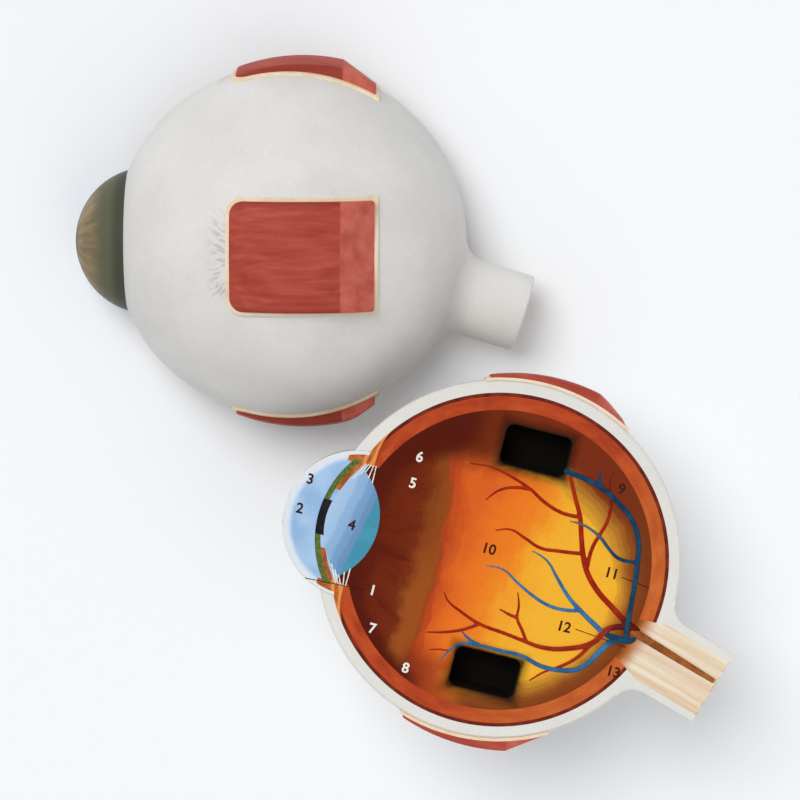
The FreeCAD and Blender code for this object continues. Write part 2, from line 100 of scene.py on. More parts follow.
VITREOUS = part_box("socket_half_vitreous")[1].y / MM  # radius of the vitreous body
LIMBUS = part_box("socket_half_cornea")[1].x / MM  # the lens hangs in this plane
LENS_HEIGHT = (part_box("socket_half_lens")[1].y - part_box("socket_half_lens")[0].y) / MM
LENS_THICKNESS = (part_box("socket_half_lens")[1].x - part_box("socket_half_lens")[0].x) / MM
CILIARY_ROOT = Vector(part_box("socket_half_ciliary_body")[1].xy) / MM  # where its back meets the sclera
CILIARY_TIP_BACK = 2.8  # from the lens's plane back to the tips of the ciliary body
CILIARY_TIP_GAP = 2.2  # from the lens's edge out to those tips
CILIARY_TIP = Vector((LIMBUS + CILIARY_TIP_BACK, LENS_HEIGHT / 2 + CILIARY_TIP_GAP))
NERVE_ANGLE = math.radians(-17)  # the nerve leaves below the optical axis
NERVE_END = 83.0  # from the ball's centre along the nerve to its cut end
DISC = Vector((0.98, -0.30)) * VITREOUS  # the optic disc, where the vessels meet


# --- Node recipes ------------------------------------------------------------------------------

SEED_STEP = 7.3  # sets each pattern of a finish apart from the one before
NOISE_LOW = 0.36  # noise mostly stays above this
NOISE_SPAN = 0.28  # and seldom rises more than this over it
MOTTLE_LOW = 0.93  # the paint is multiplied by this in its darkest specks
MOTTLE_SPAN = 0.14  # and by this much more in its lightest
GLOSS_SPREAD = 0.12  # by which the roughness wanders either way
PORE_SHARE = 0.5  # how high the fine pores stand beside the slow swell
PORE_DEPTH = 0.4  # in millimetres


def linear(code):
    """A hex colour as the linear values that a node takes."""
    parts = [int(code[i:i + 2], 16) / 255 for i in (1, 3, 5)]
    return [c / 12.92 if c <= 0.04045 else ((c + 0.055) / 1.055) ** 2.4 for c in parts] + [1.0]


class Recipe:
    """A painted finish, built one node at a time in the eye's own millimetres."""

    def __init__(self, name, half):
        self.material = bpy.data.materials.new(name)
        self.material.use_nodes = True
        self.tree = self.material.node_tree
        self.shader = self.tree.nodes["Principled BSDF"]
        self.seed = 0.0
        settings = {"Scale": (1 / MM,) * 3, "Rotation": (0, 0, -half.turn)}
        settings["Location"] = Matrix.Rotation(-half.turn, 3, "Z") @ -half.stand / MM
        object_place = self.node("ShaderNodeTexCoord").outputs["Object"]
        self.eye = self.node("ShaderNodeMapping", Vector=object_place, **settings).outputs["Vector"]
        self.x, self.y, self.z = self.node("ShaderNodeSeparateXYZ", Vector=self.eye).outputs

    def node(self, kind, options=None, **values):
        node = self.tree.nodes.new(kind)
        for key, value in (options or {}).items():
            setattr(node, key, value)
        for key, value in values.items():
            self.feed(node.inputs[key], value)
        return node

    def feed(self, socket, value):
        if isinstance(value, bpy.types.NodeSocket):
            self.tree.links.new(value, socket)
        else:
            socket.default_value = linear(value) if isinstance(value, str) else value

    def math(self, operation, *values):
        node = self.node("ShaderNodeMath", {"operation": operation})
        for socket, value in zip(node.inputs, values):
            self.feed(socket, value)
        return node.outputs[0]

    def plus(self, a, b):
        return self.math("ADD", a, b)

    def minus(self, a, b):
        return self.math("SUBTRACT", a, b)

    def times(self, a, b):
        return self.math("MULTIPLY", a, b)

    def size(self, value):
        return self.math("ABSOLUTE", value)

    def rise(self, value, low, high):
        """0 below low, 1 above high, and a soft slope between."""
        node = self.node("ShaderNodeMapRange", {"interpolation_type": "SMOOTHSTEP"})
        for name, item in (("Value", value), ("From Min", low), ("From Max", high)):
            self.feed(node.inputs[name], item)
        return node.outputs[0]

    def fall(self, value, low, high):
        """1 below low, 0 above high, and a soft slope between."""
        return self.minus(1.0, self.rise(value, low, high))

    def point(self, x, y, z=0.0):
        return self.node("ShaderNodeCombineXYZ", X=x, Y=y, Z=z).outputs[0]

    def stretched(self, x, y, z):
        """The place, stretched so that a pattern comes out that many times as long each way."""
        node = self.node("ShaderNodeMapping", Vector=self.eye, Scale=(1 / x, 1 / y, 1 / z))
        return node.outputs["Vector"]

    def noise(self, size, detail=2.0, place=None):
        """Soft blotches about size millimetres apart, from 0 to 1."""
        self.seed += SEED_STEP
        settings = {"Scale": 1 / size, "Detail": detail, "W": self.seed, "Vector": place or self.eye}
        return self.node("ShaderNodeTexNoise", {"noise_dimensions": "4D"}, **settings).outputs["Fac"]

    def wander(self, size, reach, detail=2.0):
        """A soft shift of up to reach millimetres either way."""
        return self.times(self.minus(self.noise(size, detail), 0.5), 2 * reach)

    def cells(self, size_x, size_y, blur):
        """The middle of the brush patch that a place falls in, as x and y."""
        x = self.times(self.plus(self.x, self.wander(3, blur)), 1 / size_x)
        y = self.times(self.plus(self.y, self.wander(3, blur)), 1 / size_y)
        patches = self.node("ShaderNodeTexVoronoi", {"voronoi_dimensions": "2D"}, Scale=1.0)
        self.feed(patches.inputs["Vector"], self.point(x, y))
        x, y, _ = self.node("ShaderNodeSeparateXYZ", Vector=patches.outputs["Position"]).outputs
        return self.times(x, size_x), self.times(y, size_y)

    def ramp(self, value, stops, low=0.0, high=1.0):
        """Colours at places between low and high."""
        node = self.node("ShaderNodeValToRGB")
        share = self.node("ShaderNodeMapRange", Value=value)
        self.feed(share.inputs["From Min"], low)
        self.feed(share.inputs["From Max"], high)
        self.feed(node.inputs["Fac"], share.outputs[0])
        band = node.color_ramp
        while len(band.elements) < len(stops):
            band.elements.new(0.5)
        for element, (place, code) in zip(band.elements, stops):
            element.position = (place - low) / (high - low)
            element.color = linear(code)
        return node.outputs["Color"]

    def mix(self, share, a, b, blend="MIX"):
        """Colour a with a share of colour b; a Mix node keeps its colours in sockets 6, 7 and 2."""
        node = self.node("ShaderNodeMix", {"data_type": "RGBA", "blend_type": blend})
        for index, item in ((0, share), (6, a), (7, b)):
            self.feed(node.inputs[index], item)
        return node.outputs[2]

    def length(self, x, y, z=0.0):
        node = self.node("ShaderNodeVectorMath", {"operation": "LENGTH"})
        self.feed(node.inputs[0], self.point(x, y, z))
        return node.outputs["Value"]

    def blotches(self, codes, size, detail=3.0):
        """Paint in a few near shades, laid on in soft patches."""
        last = len(codes) - 1
        stops = [(NOISE_LOW + NOISE_SPAN * i / last, code) for i, code in enumerate(codes)]
        return self.ramp(self.noise(size, detail), stops)

    def foam(self, colour, rough=0.55, pores=0.3, relief=None, shine=0.1):
        """Foam skin under matt paint: fine pores, a slow swell and an uneven gloss."""
        mottle = self.plus(MOTTLE_LOW, self.times(self.noise(0.9, 4.0), MOTTLE_SPAN))
        self.feed(self.shader.inputs["Base Color"], self.mix(1.0, colour, mottle, "MULTIPLY"))
        gloss = self.plus(rough - GLOSS_SPREAD, self.times(self.noise(2.5, 3.0), 2 * GLOSS_SPREAD))
        self.feed(self.shader.inputs["Roughness"], gloss)
        self.shader.inputs["Specular IOR Level"].default_value = shine
        height = self.plus(self.times(self.noise(0.55, 3.0), PORE_SHARE), self.noise(9.0))
        if relief is not None:
            height = self.plus(height, relief)
        bump = self.node("ShaderNodeBump", Height=height, Strength=pores, Distance=PORE_DEPTH * MM)
        self.feed(self.shader.inputs["Normal"], bump.outputs["Normal"])
        return self.material


# --- Finishes ----------------------------------------------------------------------------------

# In every recipe places, sizes and slopes are in eye millimetres, and shares go from 0 to 1.

# Colours by place: along the axis from the front to the back, and outwards for the rings
FACE_FRONT = -52
FACE_BACK = 52
# The darkest browns at the front are partly printed and partly painted shade.
GLOW = [
    (-52, "#511709"), (-44, "#5c1b0a"), (-38, "#6b240d"), (-33, "#70270f"), (-29.5, "#752d11"),
    (-26, "#874217"), (-21.6, "#93491a"), (-20.9, "#ab411b"), (-19, "#c34e1e"), (-15, "#da6221"),
    (-9, "#e87022"), (-2, "#ed7c22"), (4, "#f08b25"), (7, "#f39d2a"), (11, "#f5ab2e"), (18, "#f6b533"),
    (36, "#f5b532"), (52, "#eca42c"),
]
# Dark red browns along the top: partly printed, partly a painted shadow.
UPPER_SHADE = [(-32, "#451607"), (-18, "#571d0a"), (0, "#722b11")]
CORNER_SHADE = [(-22, "#7b2b13"), (-16, "#8d3417"), (-8, "#ae441c")]
RINGS_FROM = 38
RINGS_TO = 52
# The outer browns are partly printed and partly painted shade.
RINGS = [
    (39, "#e9a52d"), (41.5, "#cc8e2c"), (43.5, "#ab6d25"), (45.2, "#914f1c"), (47, "#84441a"),
    (50.5, "#783816"),
]
EVEN_SHARE = 0.3  # of the glow that is laid on evenly
PATCH_SHARE = 0.35  # of the glow that follows brush patches, and as much again that follows bands
BAND = 2.2  # width of those bands
LENS_SPOKES = 64.0  # how far ahead of the ball's centre the dark streaks fan out from
MOUTH_HALF_WIDTH = 11.0  # of a socket's mouth
MOUTH_HALF_HEIGHT = 6.8
MOUTH_CORNER = 2.0  # softness of its corners
STROKES = ((0.7, 2.0), (3.4, 4.4))  # peach strokes, by their distance from the ciliary body's back


def glow_place(r, x, y, unevenness):
    """How far back in the eye a place seems to lie: brown's edge is firm, and yellow leans forward."""
    behind = r.rise(x, -18, -8)
    ahead_skew = r.plus(r.times(y, r.plus(r.times(y, 0.00205), 0.046)), -0.82)
    behind_skew = r.times(r.math("MAXIMUM", y, -12.0), -0.24)
    skew = r.plus(r.times(ahead_skew, r.minus(1.0, behind)), r.times(behind_skew, behind))
    firm = r.minus(r.rise(x, -27, -22), r.rise(x, -19, -13))
    loose = r.minus(1.0, r.times(0.7, firm))
    return r.plus(r.plus(x, skew), r.times(unevenness, loose))


def glow(r):
    """Printed colour from dark brown at the front to yellow at the back, with a tan band between; the
    front's darkest browns are partly painted shade.
    """
    unevenness = r.plus(r.wander(12, 6.5), r.wander(3, 1.6, 3.0))
    patch_x, patch_y = r.cells(3.4, 7.5, 1.2)
    even = glow_place(r, r.x, r.y, unevenness)
    patched = r.times(glow_place(r, patch_x, patch_y, unevenness), PATCH_SHARE)
    banded = r.times(r.math("SNAP", even, BAND), PATCH_SHARE)
    place = r.plus(r.times(even, EVEN_SHARE), r.plus(patched, banded))
    colour = r.ramp(place, GLOW, FACE_FRONT, FACE_BACK)
    tan = r.times(r.rise(even, -29, -25), r.fall(even, -21.6, -20.8))
    return r.mix(r.times(r.times(tan, r.fall(r.y, -16, 6)), 0.8), colour, "#9f511f")


def dark_streaks(r, colour):
    """Dark streaks over the front that fan out behind the lens."""
    from_lens = r.plus(r.x, LENS_SPOKES)
    spoke = r.times(r.math("ARCTAN2", r.y, from_lens), 18.0)
    streaks = r.noise(1.7, 3.0, r.point(spoke, r.times(r.length(from_lens, r.y), 0.13)))
    front = r.times(r.rise(r.x, -50, -42), r.fall(r.x, -32, -24))
    return r.mix(r.times(front, r.times(r.rise(streaks, 0.48, 0.72), 0.75)), colour, "#54170a")


def front_shades(r, colour):
    """Dark red brown along the top, partly printed and partly a painted shadow, and rust in the lower
    corner.
    """
    # The dark along the top is partly printed and partly a painted shadow.
    upper = r.rise(r.plus(r.y, r.wander(6, 2.5)), 25, 35.5)
    upper_shade = r.ramp(r.x, UPPER_SHADE, FACE_FRONT, FACE_BACK)
    colour = r.mix(r.times(upper, r.minus(0.92, r.rise(r.x, 2, 16))), colour, upper_shade)
    corner = r.times(r.rise(r.times(r.y, -1.0), 31, 41), r.rise(r.x, -25, -20))
    corner_shade = r.ramp(r.plus(r.x, r.wander(5, 2.0)), CORNER_SHADE, FACE_FRONT, FACE_BACK)
    return r.mix(r.times(corner, r.minus(0.9, r.rise(r.x, -10, 0))), colour, corner_shade)


def back_rings(r, colour):
    """Rings from gold to brown round the back, wider and redder above, and a dark edge in front; the
    browns and that edge are partly printed and partly painted shade.
    """
    radius = r.length(r.x, r.y)
    side = r.math("DIVIDE", r.y, r.math("MAXIMUM", radius, 1.0))
    reach = r.plus(radius, r.times(r.rise(side, -0.05, 0.2), 2.8))
    reach = r.plus(reach, r.times(r.rise(side, 0.35, 0.85), 4.4))
    reach = r.plus(reach, r.plus(r.wander(6, 1.6, 3.0), r.times(r.rise(side, -0.2, -0.9), -1.0)))
    spread = r.times(r.rise(side, 0.15, 0.45), r.times(r.minus(reach, 44.5), -0.35))
    reach = r.plus(reach, r.times(spread, r.fall(reach, 44.5, 52)))
    ring = r.plus(r.times(reach, 0.4), r.times(r.math("SNAP", reach, 1.3), 0.6))
    back = r.times(r.rise(ring, 38.8, 41), r.rise(r.x, -14, 2))
    rings = r.ramp(ring, RINGS, RINGS_FROM, RINGS_TO)
    rings = r.mix(r.times(r.rise(side, 0.3, 0.8), r.rise(ring, 44, 46.5)), rings, "#782d13")
    colour = r.mix(back, colour, rings)
    # A dark edge in front, partly printed and partly painted shade.
    edge = r.times(r.rise(reach, 43.5, 49), r.fall(r.x, -22, -12))
    return r.mix(edge, colour, "#541709")


def painted_socket_shade(r, colour):
    """Painted shade that darkens the paint softly round both sockets' mouths."""
    for socket in (UPPER_SOCKET, LOWER_SOCKET):
        off_x = r.minus(r.size(r.minus(r.x, socket.x)), MOUTH_HALF_WIDTH)
        off_y = r.minus(r.size(r.minus(r.y, socket.y)), MOUTH_HALF_HEIGHT)
        beyond = r.plus(r.math("SMOOTH_MAX", off_x, off_y, MOUTH_CORNER), r.wander(3, 0.6))
        # Painted shade round the mouth: a soft grey multiply, darker brown at the rim.
        colour = r.mix(r.fall(beyond, 0.8, 3.9), colour, "#bcbeb0", "MULTIPLY")
        colour = r.mix(r.times(r.fall(beyond, 0.0, 1.5), 0.9), colour, "#2f1c0e")
    return colour


def vitreous_paint(half):
    """The core: a printed glow with shades and rings over it, partly painted shade, painted shade round
    the sockets' mouths, and black inside the sockets.
    """
    r = Recipe(half.body + "_vitreous_paint", half)
    colour = glow(r)
    for layer in (dark_streaks, front_shades, back_rings, painted_socket_shade):
        colour = layer(r, colour)
    pit = r.rise(r.size(r.z), 0.25, 1.1)
    material = r.foam(r.mix(pit, colour, "#14110e"), shine=0.05)
    gloss = r.shader.inputs["Roughness"].links[0].from_socket
    r.feed(r.shader.inputs["Roughness"], r.math("MAXIMUM", gloss, pit))
    return material


def retina_paint(half):
    """Red orange in brushed patches that follow the wall, more orange towards the back."""
    r = Recipe(half.body + "_retina_paint", half)
    round_wall = r.times(r.math("ARCTAN2", r.y, r.x), 9.0)
    place = r.point(round_wall, r.times(r.length(r.x, r.y, r.z), 0.5), r.times(r.z, 0.2))
    colour = r.ramp(r.noise(1.6, 3.0, place), [(0.34, "#a33a1b"), (0.5, "#b4451f"), (0.66, "#c25026")])
    back = r.ramp(r.noise(1.6, 3.0, place), [(0.34, "#b85525"), (0.5, "#c5622b"), (0.66, "#d27033")])
    colour = r.mix(r.times(r.rise(r.minus(r.x, r.times(r.y, 0.35)), 8, 42), 0.85), colour, back)
    return r.foam(colour)


def choroid_paint(half):
    r = Recipe(half.body + "_choroid_paint", half)
    return r.foam(r.blotches(["#561a10", "#6b2315", "#7d2d19"], 4))


def white_paint(half):
    """The white of the eye: pale grey white, with a fan of faint grey strands ahead of each muscle."""
    r = Recipe(half.body + "_white_paint", half)
    colour = r.blotches(["#dcdad6", "#e0deda", "#e4e2df"], 22)
    near_cut = r.fall(r.size(r.z), 0.2, 2.2)
    colour = r.mix(r.times(near_cut, 0.4), colour, "#e9e5dc")
    above = r.rise(r.minus(r.size(r.y), r.size(r.z)), -1, 1)
    across = r.plus(r.times(r.z, above), r.times(r.y, r.minus(1.0, above)))
    from_muscle = r.times(r.plus(r.x, 8.0), -1.0)
    fan = r.times(r.math("ARCTAN2", across, from_muscle), 11.0)
    strands = r.noise(0.8, 3.0, r.point(fan, r.times(from_muscle, 0.22)))
    ahead = r.times(r.rise(r.plus(r.x, r.wander(3, 1.5)), -27, -21), r.fall(r.x, -19.6, -18.8))
    fanned = r.times(ahead, r.times(r.fall(r.size(across), 10, 17), r.rise(r.size(r.z), 1.0, 2.5)))
    lines = r.times(fanned, r.rise(strands, 0.5, 0.62))
    colour = r.mix(r.times(lines, 0.5), colour, "#a39e97")
    return r.foam(colour, rough=0.5, relief=r.times(lines, -0.8))


def cornea_paint(half):
    """The front bulge: a painted iris with a black pupil outside, white at the cut."""
    r = Recipe(half.body + "_cornea_paint", half)
    round_axis = r.length(r.y, r.z)
    spoke = r.times(r.math("ARCTAN2", r.y, r.z), 7.0)
    streaks = r.noise(1.0, 4.0, r.point(spoke, r.times(round_axis, 0.12)))
    colour = r.ramp(streaks, [(0.3, "#6a5c41"), (0.5, "#877557"), (0.7, "#9c8a68")])
    colour = r.mix(r.rise(round_axis, 16, 21), colour, "#5f5f4a")
    colour = r.mix(r.rise(round_axis, 21.5, 23.5), colour, "#454a3c")
    colour = r.mix(r.fall(round_axis, 6.0, 9.0), colour, "#4b3a22")
    colour = r.mix(r.fall(round_axis, 5.4, 6.0), colour, "#0d0c0c")
    colour = r.mix(r.fall(r.size(r.z), 0.5, 0.9), colour, "#e4e6e8")
    return r.foam(colour, rough=0.4, pores=0.2)


def chamber_paint(half):
    """Light blue, whiter under the cornea."""
    r = Recipe(half.body + "_chamber_paint", half)
    colour = r.blotches(["#95b9e0", "#a0c1e5", "#abcaea"], 8, 1.0)
    edge = r.rise(r.plus(r.length(r.plus(r.x, 48.0), r.y), r.wander(4, 0.5)), 21.2, 23.4)
    colour = r.mix(edge, colour, "#dde8f3")
    return r.foam(colour)


def iris_paint(half):
    r = Recipe(half.body + "_iris_paint", half)
    fibres = r.noise(1.2, 3.0)
    colour = r.ramp(fibres, [(0.35, "#46562a"), (0.5, "#596c35"), (0.68, "#6f7f40")])
    return r.foam(colour)


def pupil_paint(half):
    r = Recipe(half.body + "_pupil_paint", half)
    return r.foam(r.blotches(["#0c0c0e", "#15151a", "#1d1d24"], 2), rough=0.45)


def lens_paint(half):
    """Slanting bands of blue with firm edges, from pale in front to teal behind."""
    r = Recipe(half.body + "_lens_paint", half)
    slant = r.minus(r.x, r.plus(-46.3, r.times(r.y, 0.2)))
    slant = r.plus(slant, r.wander(5, 0.9, 3.0))
    bands = [(-12, "#a9c8e6"), (-8.6, "#a3c3e3"), (-8.2, "#93b7db"), (-5.2, "#8cb0d6"), (-4.9, "#7aa3cc"),
             (-2.4, "#749dc6"), (-2.1, "#6b95bf"), (-0.1, "#6890b8"), (0.2, "#4592ad"), (12, "#4190ab")]
    colour = r.ramp(slant, bands, -12, 12)
    teal = r.times(r.rise(slant, 0.0, 0.4), r.rise(r.noise(5, 1.0), 0.5, 0.53))
    colour = r.mix(r.times(teal, 0.5), colour, "#4f9db6")
    return r.foam(colour, rough=0.45)


def ciliary_paint(half):
    """Orange brown, with peach strokes that follow its back edge down to the tip."""
    r = Recipe(half.body + "_ciliary_paint", half)
    colour = r.blotches(["#9a4c22", "#b4602b", "#c77536"], 2.6, 2.0)
    back = (CILIARY_TIP - CILIARY_ROOT).normalized()
    from_root = r.minus(r.x, CILIARY_ROOT.x), r.minus(r.length(r.y, r.z), CILIARY_ROOT.y)
    ahead = r.plus(r.times(from_root[0], back.y), r.times(from_root[1], -back.x))
    ahead = r.plus(r.size(ahead), r.wander(3, 0.35))
    for near, far in STROKES:
        stroke = r.times(r.rise(ahead, near - 0.25, near + 0.1), r.fall(ahead, far - 0.1, far + 0.25))
        colour = r.mix(r.times(stroke, 0.85), colour, "#e8974f")
    return r.foam(colour)


def fibre_paint(half):
    """Cream bundles that run down the nerve from the orange disc, and their round ends where it is cut."""
    r = Recipe(half.body + "_fibre_paint", half)
    nerve = r.node("ShaderNodeMapping", Vector=r.eye, Rotation=(0, 0, -NERVE_ANGLE)).outputs["Vector"]
    along, across, up = r.node("ShaderNodeSeparateXYZ", Vector=nerve).outputs
    streak_place = r.point(r.times(along, 0.04), r.plus(across, r.wander(9, 0.5)), r.times(up, 0.3))
    streaks = r.noise(2.6, 2.0, streak_place)
    colour = r.ramp(streaks, [(0.36, "#dfc29f"), (0.48, "#ead6b8"), (0.6, "#f1e5d1")])
    under = r.times(r.fall(r.size(r.minus(across, -1.2)), 1.2, 3.2), 0.35)
    colour = r.mix(under, colour, "#d8a678")
    radius = r.plus(r.length(r.x, r.y), r.wander(3, 0.9))
    colour = r.mix(r.fall(radius, 51.5, 57.5), colour, "#b8692f")
    colour = r.mix(r.fall(radius, 50.6, 52.6), colour, "#8c4b1e")
    ends = r.node("ShaderNodeTexVoronoi", Scale=0.4, Randomness=0.75, Vector=r.point(0.0, across, up))
    bundles = r.ramp(ends.outputs["Distance"], [(0.32, "#efdec4"), (0.5, "#e4c6a0"), (0.68, "#cf9f75")])
    colour = r.mix(r.rise(along, NERVE_END - 0.4, NERVE_END - 0.1), colour, bundles)
    return r.foam(colour, relief=r.times(streaks, 1.2))


def muscle_paint(half):
    """Plain red muscle with faint strands along it, darker at the sides, and a paler cut end."""
    r = Recipe(half.body + "_muscle_paint", half)
    strands = r.noise(2.4, 4.0, r.stretched(9.0, 0.8, 0.8))
    colour = r.ramp(strands, [(0.34, "#9f3f31"), (0.5, "#ab483a"), (0.66, "#b65345")])
    off_pole = r.math("MINIMUM", r.size(r.y), r.size(r.z))
    colour = r.mix(r.times(r.rise(off_pole, 15.6, 17.8), 0.6), colour, "#8a3226")
    cut_end = r.rise(r.plus(r.x, r.wander(2, 0.3)), 17.6, 18.4)
    colour = r.mix(cut_end, colour, r.blotches(["#b65545", "#c26152", "#ca6c5c"], 5))
    return r.foam(colour, relief=r.times(strands, 1.6))


def border_paint(half):
    r = Recipe(half.body + "_border_paint", half)
    return r.foam(r.blotches(["#e8cfae", "#eed9bd", "#f0dfc8"], 5))


def peg_paint(half):
    r = Recipe(half.body + "_peg_paint", half)
    return r.foam(r.blotches(["#0f0d0d", "#151312", "#1c1a19"], 4), rough=0.6)


def artery_paint(half):
    """Deep red, darker at the disc, at the tips and where the upper branch crosses the dark rings, the
    last partly painted shade.
    """
    r = Recipe(half.body + "_artery_paint", half)
    colour = r.blotches(["#8e1a06", "#9c2209", "#a82b0f"], 3)
    tips = r.times(r.fall(r.x, -18, -4), 0.6)
    colour = r.mix(tips, colour, "#741808")
    near = r.length(r.minus(r.x, DISC.x), r.minus(r.y, DISC.y))
    colour = r.mix(r.fall(near, 7.0, 9.4), colour, "#551006")
    # Darker where the upper branch crosses the dark rings: partly printed, partly painted shade.
    outer = r.times(r.rise(r.length(r.x, r.y), 38.5, 42.5), r.rise(r.y, 10, 20))
    colour = r.mix(r.times(outer, 0.8), colour, "#5f1508")
    return r.foam(colour, rough=0.45, pores=0.2)


def vein_paint(half):
    """Dark blue behind and above, partly painted shade, lighter blue below with a painted highlight along
    the top of the rib, greyer towards the tips.
    """
    r = Recipe(half.body + "_vein_paint", half)
    light = r.blotches(["#2f6495", "#39709e", "#457cab"], 3)
    dark = r.blotches(["#08334f", "#0c3d5d", "#12496c"], 3)
    # A painted highlight: lighter blue along the top of the raised vein.
    painted_highlight = r.rise(r.z, 0.42, 0.62)
    light = r.mix(r.times(painted_highlight, 0.35), light, "#4f8cc2")
    low = r.times(r.fall(r.y, -27, -20), r.fall(r.x, 38, 44))
    light = r.mix(r.times(low, 0.35), light, dark)
    # Dark blue behind and above, partly printed and partly painted shade.
    upper = r.rise(r.plus(r.y, r.times(r.rise(r.x, 33, 41), 30.0)), 9.5, 14)
    colour = r.mix(upper, light, dark)
    grey = r.times(r.fall(r.minus(r.x, r.times(r.y, 2.5)), 8, 26), r.fall(r.y, 7, 10))
    branch_tip = r.times(r.fall(r.x, 27, 37), r.times(r.rise(r.y, 10, 13), r.fall(r.y, 23, 27)))
    colour = r.mix(r.times(r.math("MAXIMUM", grey, branch_tip), 0.75), colour, "#4f6c7e")
    return r.foam(colour, rough=0.45, pores=0.2)


def central_paint(half):
    r = Recipe(half.body + "_central_vessel_paint", half)
    return r.foam(r.blotches(["#86491f", "#9a5826", "#a96833"], 3), rough=0.5)


def thread_paint(half):
    r = Recipe(half.body + "_thread_paint", half)
    return r.foam(r.blotches(["#e2dccf", "#f0ece4", "#f6f4ee"], 1.5))


def print_ink(half, name, codes):
    r = Recipe(half.body + "_" + name, half)
    return r.foam(r.blotches(codes, 0.8), rough=0.5, pores=0.2)


PAINTS = {
    "sclera": white_paint,
    "choroid": choroid_paint,
    "retina": retina_paint,
    "vitreous": vitreous_paint,
    "cornea": cornea_paint,
    "aqueous_chamber": chamber_paint,
    "iris": iris_paint,
    "pupil": pupil_paint,
    "lens": lens_paint,
    "ciliary_body": ciliary_paint,
    "optic_nerve_sheath": white_paint,
    "optic_nerve_fibres": fibre_paint,
    "rectus": muscle_paint,
    "rectus_border": border_paint,
    "peg": peg_paint,
    "retinal_arteries": artery_paint,
    "retinal_veins": vein_paint,
    "central_vessels": central_paint,
    "zonules": thread_paint,
}
finishes = {}


def finish_for(half, slot):
    """Each finish is mixed once for each half."""
    make = PAINTS[slot]
    if (half.body, make) not in finishes:
        finishes[half.body, make] = make(half)
    return finishes[half.body, make]


def put_on(piece, material):
    piece.data.materials.clear()
    piece.data.materials.append(material)


def dress_mouldings():
    """Every moulding keeps its shape and gets its paint."""
    for part in frame["record"]["subparts"]:
        half = SOCKET_HALF if part["node"].startswith(SOCKET_HALF.body) else PEG_HALF
        put_on(frame["nodes"][part["node"]], finish_for(half, part["material_slot"]))


# --- Modelling tools ---------------------------------------------------------------------------

SEAT = 0.12  # how deep ribs reach into the foam, so that no light shows under them
TAPER = 2.2  # over 1, so that a cord keeps its width for most of its length
CORD_ROUNDNESS = 4
CORD_STEPS = 10  # between two of its points
RIB_FLATTEN = 0.6
RIB_SMOOTHING = 3
ROUND_EDGE = math.radians(40)  # edges sharper than this stay crisp


def pick(piece):
    bpy.ops.object.select_all(action="DESELECT")
    bpy.context.view_layer.objects.active = piece
    piece.select_set(True)


def join(pieces, name):
    pick(pieces[0])
    for piece in pieces:
        piece.select_set(True)
    if len(pieces) > 1:
        bpy.ops.object.join()
    pieces[0].name = name
    pieces[0].data.name = name
    return pieces[0]


def apply_modifiers(piece):
    pick(piece)
    for modifier in list(piece.modifiers):
        bpy.ops.object.modifier_apply(modifier=modifier.name)


def settle(piece, half, slot, *nodes):
    """Puts a piece drawn in eye millimetres in its place on its half."""
    pick(piece)
    piece.matrix_world = half.place() @ piece.matrix_world
    bpy.ops.object.transform_apply(location=True, rotation=True, scale=True)
    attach(piece, half.body)
    if nodes:
        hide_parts(*nodes)


def tube(points, start_width, end_width, lift=0.0, dip=0.0):
    """A smooth cord through the points, tapering from one width to the other; its start may dip.

    A point's third number, where it has one, is how far the cord arches up there over another.
    """
    bpy.ops.curve.primitive_bezier_curve_add(location=(0, 0, 0))
    cord = bpy.context.object
    bpy.ops.object.mode_set(mode="EDIT")
    bpy.ops.curve.select_all(action="SELECT")
    bpy.ops.curve.delete(type="VERT")
    for i, (x, y, *arch) in enumerate(points):
        height = lift + sum(arch) if i else lift - dip
        bpy.ops.curve.vertex_add(location=(x, y, height))
    bpy.ops.curve.select_all(action="SELECT")
    bpy.ops.curve.handle_type_set(type="AUTOMATIC")
    bpy.ops.object.mode_set(mode="OBJECT")
    knots = cord.data.splines[0].bezier_points
    for i, knot in enumerate(knots):
        share = (i / (len(knots) - 1)) ** TAPER
        knot.radius = (start_width + share * (end_width - start_width)) / 2
    cord.data.bevel_depth = 1.0
    cord.data.bevel_resolution = CORD_ROUNDNESS
    cord.data.resolution_u = CORD_STEPS
    cord.data.use_fill_caps = True
    bpy.ops.object.convert(target="MESH")
    return cord


def flattened(piece, share):
    pick(piece)
    bpy.ops.object.mode_set(mode="EDIT")
    bpy.ops.mesh.select_all(action="SELECT")
    bpy.ops.transform.resize(value=(1, 1, share), center_override=(0, 0, 0))
    bpy.ops.object.mode_set(mode="OBJECT")


def melted(tubes, name, grain):
    """Cords melted into one raised rib with soft joints, flat underneath and seated on the cut face."""
    ribs = join(tubes, name)
    flattened(ribs, RIB_FLATTEN)
    melt = ribs.modifiers.new("melt", "REMESH")
    melt.mode = "VOXEL"
    melt.voxel_size = grain
    soften = ribs.modifiers.new("soften", "SMOOTH")
    soften.iterations = RIB_SMOOTHING
    soften.factor = 0.5
    apply_modifiers(ribs)
    bpy.ops.object.mode_set(mode="EDIT")
    bpy.ops.mesh.select_all(action="SELECT")
    bpy.ops.mesh.bisect(plane_co=(0, 0, -SEAT), plane_no=(0, 0, 1), clear_inner=True, use_fill=True)
    bpy.ops.object.mode_set(mode="OBJECT")
    bpy.ops.object.shade_smooth_by_angle(angle=ROUND_EDGE)
    return ribs


# --- Raised lines on the cut face --------------------------------------------------------------

ARCH = 0.8  # how far a vessel arches up where it passes over another

